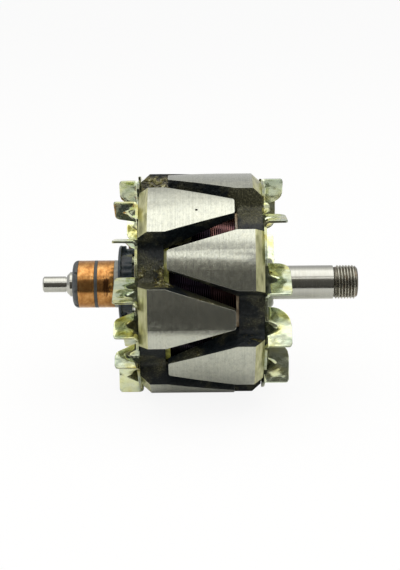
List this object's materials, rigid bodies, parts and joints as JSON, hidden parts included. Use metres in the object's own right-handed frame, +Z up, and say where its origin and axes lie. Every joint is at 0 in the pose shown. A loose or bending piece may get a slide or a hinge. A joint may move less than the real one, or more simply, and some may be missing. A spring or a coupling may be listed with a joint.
{
  "type": "alternator rotor",
  "caption": "Claw-pole alternator rotor with a wound field coil, slip rings, two stamped fans and a threaded drive shaft.",
  "frame": {"origin": "on the shaft axis, at the face that the drive-end bearing seats against", "axes": "+X along the shaft towards the drive end, +Z up"},
  "size_m": [0.1581, 0.11, 0.11],
  "materials": {
    "turned_steel": "ground and turned steel",
    "forged_steel": "turned outside, dark varnish on the flanks",
    "core_steel": "turned steel",
    "moulded_bobbin": "varnished moulding",
    "winding_wire": "enamelled copper wire under varnish",
    "lead_wire": "tinned copper wire",
    "sleeving": "woven insulating sleeve",
    "slip_ring_copper": "polished copper",
    "ring_moulding": "dark grey moulding",
    "collar_moulding": "black moulding",
    "terminal_copper": "tinned copper strip",
    "solder": "soft solder",
    "passivated_steel": "yellow-green passivated sheet steel"
  },
  "bodies": {
    "root": {"shaft": "turned_steel", "drive_end_pole": "forged_steel", "slip_ring_end_pole": "forged_steel", "field_core": "core_steel", "bobbin": "moulded_bobbin", "field_winding": "winding_wire", "start_lead": "lead_wire", "end_lead": "lead_wire", "start_lead_sleeve": "sleeving", "end_lead_sleeve": "sleeving", "outer_slip_ring": "slip_ring_copper", "inner_slip_ring": "slip_ring_copper", "slip_ring_insulator": "ring_moulding", "outer_ring_terminal": "terminal_copper", "inner_ring_terminal": "terminal_copper", "lead_collar": "collar_moulding", "lead_solder": "solder", "rear_fan": "passivated_steel", "front_fan": "passivated_steel", "front_spacer": "turned_steel"}
  },
  "joints": []
}
